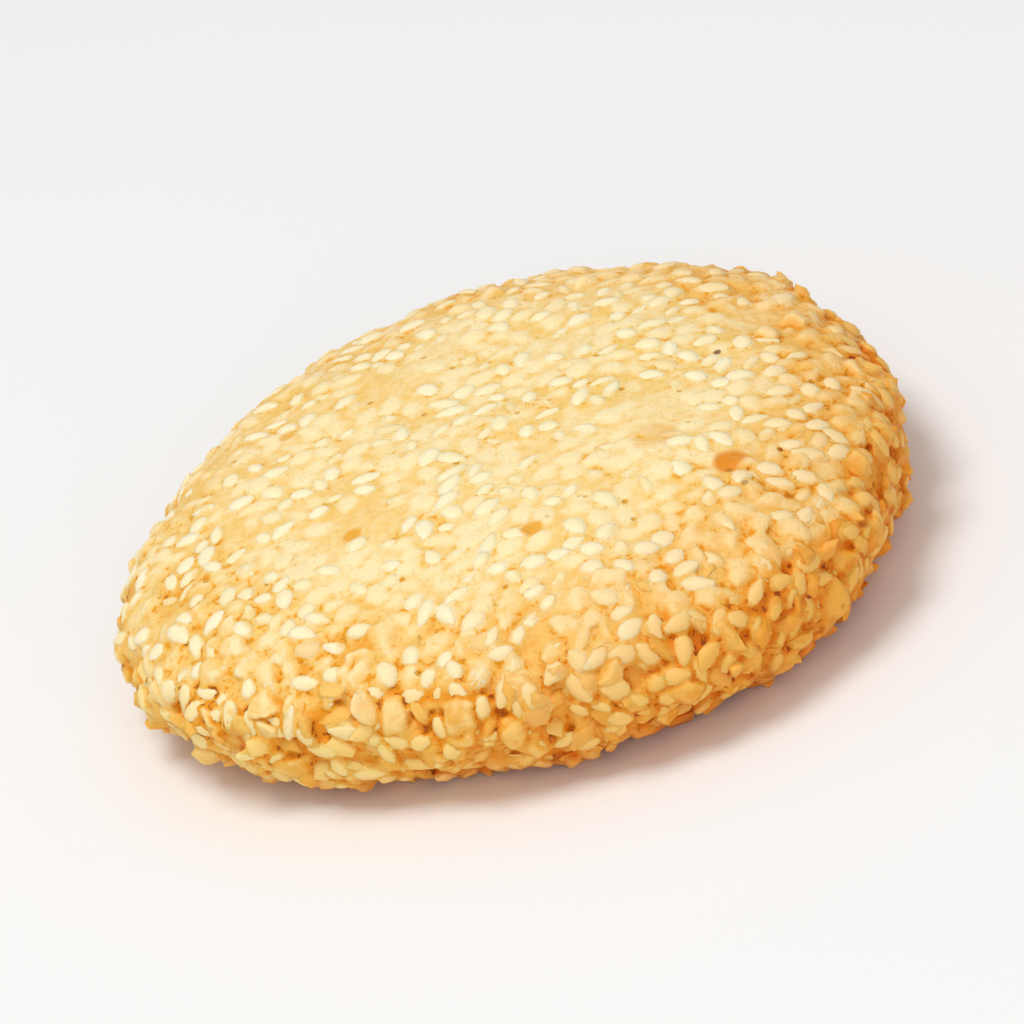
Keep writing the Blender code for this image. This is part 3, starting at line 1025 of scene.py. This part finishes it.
def warmed_and_shaded(tree, tone):
    """The tone deepened on the side and at the heel, partly by browning and partly by painted shade."""
    return add(tree, "ShaderNodeGroup", {
        "Color": tone, "Side": painted(tree, "side"), "Warmth": SIDE_WARMTH_AND_SHADE, "Low warmth": LOW_WARMTH,
        "Heel warmth": HEEL_WARMTH_AND_SHADE, "Heel height": HEEL_HEIGHT,
    }, node_tree=oven_warmth_and_shade).outputs["Color"]


def spotted(tree, tone, spots, stain):
    """The tone with a stain at each of the spots."""
    for point, size, strength in spots:
        blot = add(tree, "ShaderNodeGroup", {"Middle": point, "Size": size}, node_tree=spot).outputs["Mask"]
        tone = mixed(tree, calc(tree, "MULTIPLY", blot, strength), tone, stain)
    return tone


def translucent(weight, radius, scale):
    """The inputs of a Principled shader that let light in."""
    return {"Subsurface Weight": weight, "Subsurface Radius": radius, "Subsurface Scale": scale}


# %% Colours, as they look on screen
PALE, GOLDEN = colour(251, 229, 177), colour(242, 199, 110)
DEEP, BROWN = colour(235, 161, 28), colour(152, 75, 6)
IVORY, WARM_IVORY, TOASTED = colour(252, 240, 210), colour(250, 230, 178), colour(238, 186, 104)
TIP = colour(206, 140, 66)
# PIT is the painted shade inside a pinhole
HONEY, CARAMEL, PIT = colour(234, 168, 50), colour(227, 141, 28), colour(112, 60, 10)
CRUMB_PALE, CRUMB_GOLD, CRUMB_PEACH = colour(252, 230, 178), colour(246, 202, 112), colour(249, 213, 148)
# What a tone is multiplied by on the side, low on the side, and at the heel; the side and heel values hold
# painted shade as well as browning
SIDE_WARMTH_AND_SHADE, LOW_WARMTH = (0.92, 0.63, 0.26, 1.0), (1.0, 0.87, 0.49, 1.0)
HEEL_WARMTH_AND_SHADE, HEEL_HEIGHT = (0.96, 0.68, 0.48, 1.0), 4.4 * MM


# %% The dough
def finish_dough():
    """Dough: its tone by hollow and zone, partly painted shade, then deepened at the side and heel, and
    spotted.
    """
    tree, shader = finish_of(baked_dough)
    zones = {name: painted(tree, name.lower())
             for name in ("Hollow", "Crevice", "Seeded", "Beside", "Side", "Below")}
    dough_tone = add(tree, "ShaderNodeGroup", zones | {
        "Pale": PALE, "Golden": GOLDEN, "Deep": DEEP, "Brown": BROWN,
    }, node_tree=baked_tone_and_shade).outputs
    tone = warmed_and_shaded(tree, dough_tone["Color"])
    for spots, stain in ((honey_spots, HONEY), (caramel_spots, CARAMEL), (pinholes, PIT)):
        tone = spotted(tree, tone, spots, stain)
    height, normal = grain_bump(tree, 0.42 * MM, 0.5, 0.11 * MM, dough_tone["Pits"])
    feed(tree, shader, {
        "Base Color": tone, "Normal": normal, "Specular IOR Level": 0.22,
        "Roughness": calc(tree, "MULTIPLY_ADD", height, 0.25, 0.40),
    } | translucent(0.20, (1.0, 0.55, 0.22), 0.8 * MM))


# %% The seeds
FILM_HEIGHTS = (0.17 * MM, -0.02 * MM)     # of the skin over a seed, where the film begins and is full


def finish_seeds():
    """Seeds: ivory that fades into the dough where a seed dips under."""
    tree, shader = finish_of(sesame_seed)
    side, tint, height, along = (painted(tree, name) for name in ("side", "tint", "height", "along"))
    mottle = between(tree, object_noise(tree, 1.3 * MM, 3.0), 0.3, 0.7)
    patches = between(tree, object_noise(tree, 5.0 * MM, 2.0), 0.3, 0.7)
    warm = weighed(tree, (tint, 0.60), (mottle, 0.30))
    tone = mixed(tree, calc(tree, "SUBTRACT", warm, 0.1, clamp=True), IVORY, WARM_IVORY)
    tone = mixed(tree, calc(tree, "MULTIPLY", between(tree, tint, 0.96, 1.0), 0.6), tone, TOASTED)
    # Flour from the dough dulls the seeds on the pressed top
    tone = mixed(tree, calc(tree, "MULTIPLY_ADD", side, -0.42, 0.42), tone, PALE)
    # The dough's film covers a seed where it dips under, with a ragged edge
    shown = weighed(tree, (height, 1.0), (mottle, 0.16 * MM), (patches, 0.10 * MM))
    film = between(tree, calc(tree, "SUBTRACT", shown, 0.13 * MM), *FILM_HEIGHTS)
    film_tone = mixed(tree, calc(tree, "MULTIPLY_ADD", side, 0.65, 0.35), PALE, GOLDEN)
    tone = mixed(tree, calc(tree, "MULTIPLY", film, 0.9), tone, film_tone)
    tone = mixed(tree, calc(tree, "MULTIPLY", between(tree, along, 0.90, 1.0), 0.6), tone, TIP)
    tone = spotted(tree, warmed_and_shaded(tree, tone), honey_spots, HONEY)
    tone = spotted(tree, tone, caramel_spots, CARAMEL)
    _, normal = grain_bump(tree, 0.30 * MM, 0.2, 0.03 * MM)
    feed(tree, shader, {
        "Base Color": tone, "Normal": normal, "Specular IOR Level": 0.32, "Roughness": 0.46,
    } | translucent(0.30, (1.0, 0.70, 0.38), 0.7 * MM))


# %% The crumbs and flakes
FOOT_HEIGHTS = (0.15 * MM, -0.45 * MM)     # over the skin, where a crumb's foot begins and is fully brown


def finish_crumbs():
    """Crumbs: one of three tones each, and deeper at the foot, in the crevices between them: browning and
    painted shade.
    """
    tree, shader = finish_of(dough_crumb)
    tint, height = painted(tree, "tint"), painted(tree, "height")
    mottle = object_noise(tree, 0.7 * MM, 3.0)
    tone = mixed(tree, between(tree, tint, 0.25, 0.40), CRUMB_PALE, CRUMB_GOLD)
    tone = mixed(tree, between(tree, tint, 0.70, 0.80), tone, CRUMB_PEACH)
    sunk = calc(tree, "MULTIPLY_ADD", calc(tree, "SUBTRACT", mottle, 0.5), 0.5 * MM, height)
    # A crumb's foot is painted deeper: browning, and the shade in the crevice round it
    tone = mixed(tree, between(tree, sunk, *FOOT_HEIGHTS), tone, DEEP)
    _, normal = grain_bump(tree, 0.36 * MM, 0.4, 0.10 * MM)
    feed(tree, shader, {
        "Base Color": warmed_and_shaded(tree, tone), "Normal": normal, "Specular IOR Level": 0.25, "Roughness": 0.48,
    } | translucent(0.20, (1.0, 0.55, 0.20), 0.8 * MM))


# %% Finish all three
finish_dough()
finish_seeds()
finish_crumbs()
dough.data.materials.clear()
dough.data.materials.append(baked_dough)
for material in (baked_dough, sesame_seed, dough_crumb):
    print(material.name, "has", len(material.node_tree.nodes), "nodes")

# %% [markdown]
# ## Floor, light and camera
# The photograph is bright and soft, lit from the upper left, and looks down on the cookie's own plane at 30
# degrees from a distance. The cookie leans to one side there, so the camera is rolled instead. The floor lies
# a hair below the cookie, so that the flush seeds of the base don't share its plane.

# %% Floor
FLOOR_SIZE, FLOOR_HEIGHT = 6.0, -0.01 * MM
floor_mesh = bpy.data.meshes.new("floor")
plane = bmesh.new()
bmesh.ops.create_grid(plane, x_segments=1, y_segments=1, size=FLOOR_SIZE / 2,
                      matrix=Matrix.Translation((0.0, 0.0, FLOOR_HEIGHT)))
plane.to_mesh(floor_mesh)
plane.free()
floor = place_object("floor", floor_mesh)
pale_floor = bpy.data.materials.new("pale_floor")
feed(*finish_of(pale_floor), {"Base Color": (0.88, 0.88, 0.88, 1), "Roughness": 0.6})
floor.data.materials.append(pale_floor)

# %% Camera
VIEW_ELEVATION, VIEW_ROLL, VIEW_DISTANCE = math.radians(30.0), math.radians(18.0), 1.0
FRAME_WIDTH, SENSOR_WIDTH = 0.086, 36.0    # the frame at the cookie in metres, the sensor in millimetres
VIEW_TARGET = Vector((0.5 * MM, 0.0, 8.0 * MM))
back = Vector((0.0, -math.cos(VIEW_ELEVATION), math.sin(VIEW_ELEVATION)))
camera_data = bpy.data.cameras.new("camera")
camera_data.sensor_width = SENSOR_WIDTH
camera_data.lens = SENSOR_WIDTH * VIEW_DISTANCE / FRAME_WIDTH
camera_data.clip_start, camera_data.clip_end = 0.05, 20.0
camera = bpy.data.objects.new("camera", camera_data)
camera.location = VIEW_TARGET + back * VIEW_DISTANCE
turn = (-back).to_track_quat("-Z", "Y").to_matrix() @ Matrix.Rotation(-VIEW_ROLL, 3, "Z")
camera.rotation_euler = turn.to_euler()
bpy.context.scene.collection.objects.link(camera)
bpy.context.scene.camera = camera
print("camera at, m:", [round(part, 3) for part in camera.location])

# %% Light
KEY_POWER, FILL_POWER, SKY_STRENGTH = 2.0, 0.72, 0.56


def softbox(title, right, up, towards, size, power):
    """An area light placed as the photographer sees it: right and up in the frame, and towards the camera."""
    data = bpy.data.lights.new(title, "AREA")
    data.shape, data.size, data.energy = "DISK", size, power
    lamp = bpy.data.objects.new(title, data)
    lamp.location = VIEW_TARGET + turn @ Vector((right, up, towards))
    lamp.rotation_euler = (VIEW_TARGET - lamp.location).to_track_quat("-Z", "Y").to_euler()
    bpy.context.scene.collection.objects.link(lamp)


softbox("key", -0.30, 0.42, 0.36, 0.30, KEY_POWER)
softbox("fill", 0.10, -0.05, 0.65, 0.40, FILL_POWER)
world = bpy.data.worlds.new("studio")
bpy.context.scene.world = world
world.use_nodes = True
feed(world.node_tree, world.node_tree.nodes["Background"], {
    "Color": (1.0, 0.985, 0.965, 1.0), "Strength": SKY_STRENGTH,
})
bpy.context.scene.view_settings.view_transform = "Standard"
bpy.context.scene.view_settings.look = "None"
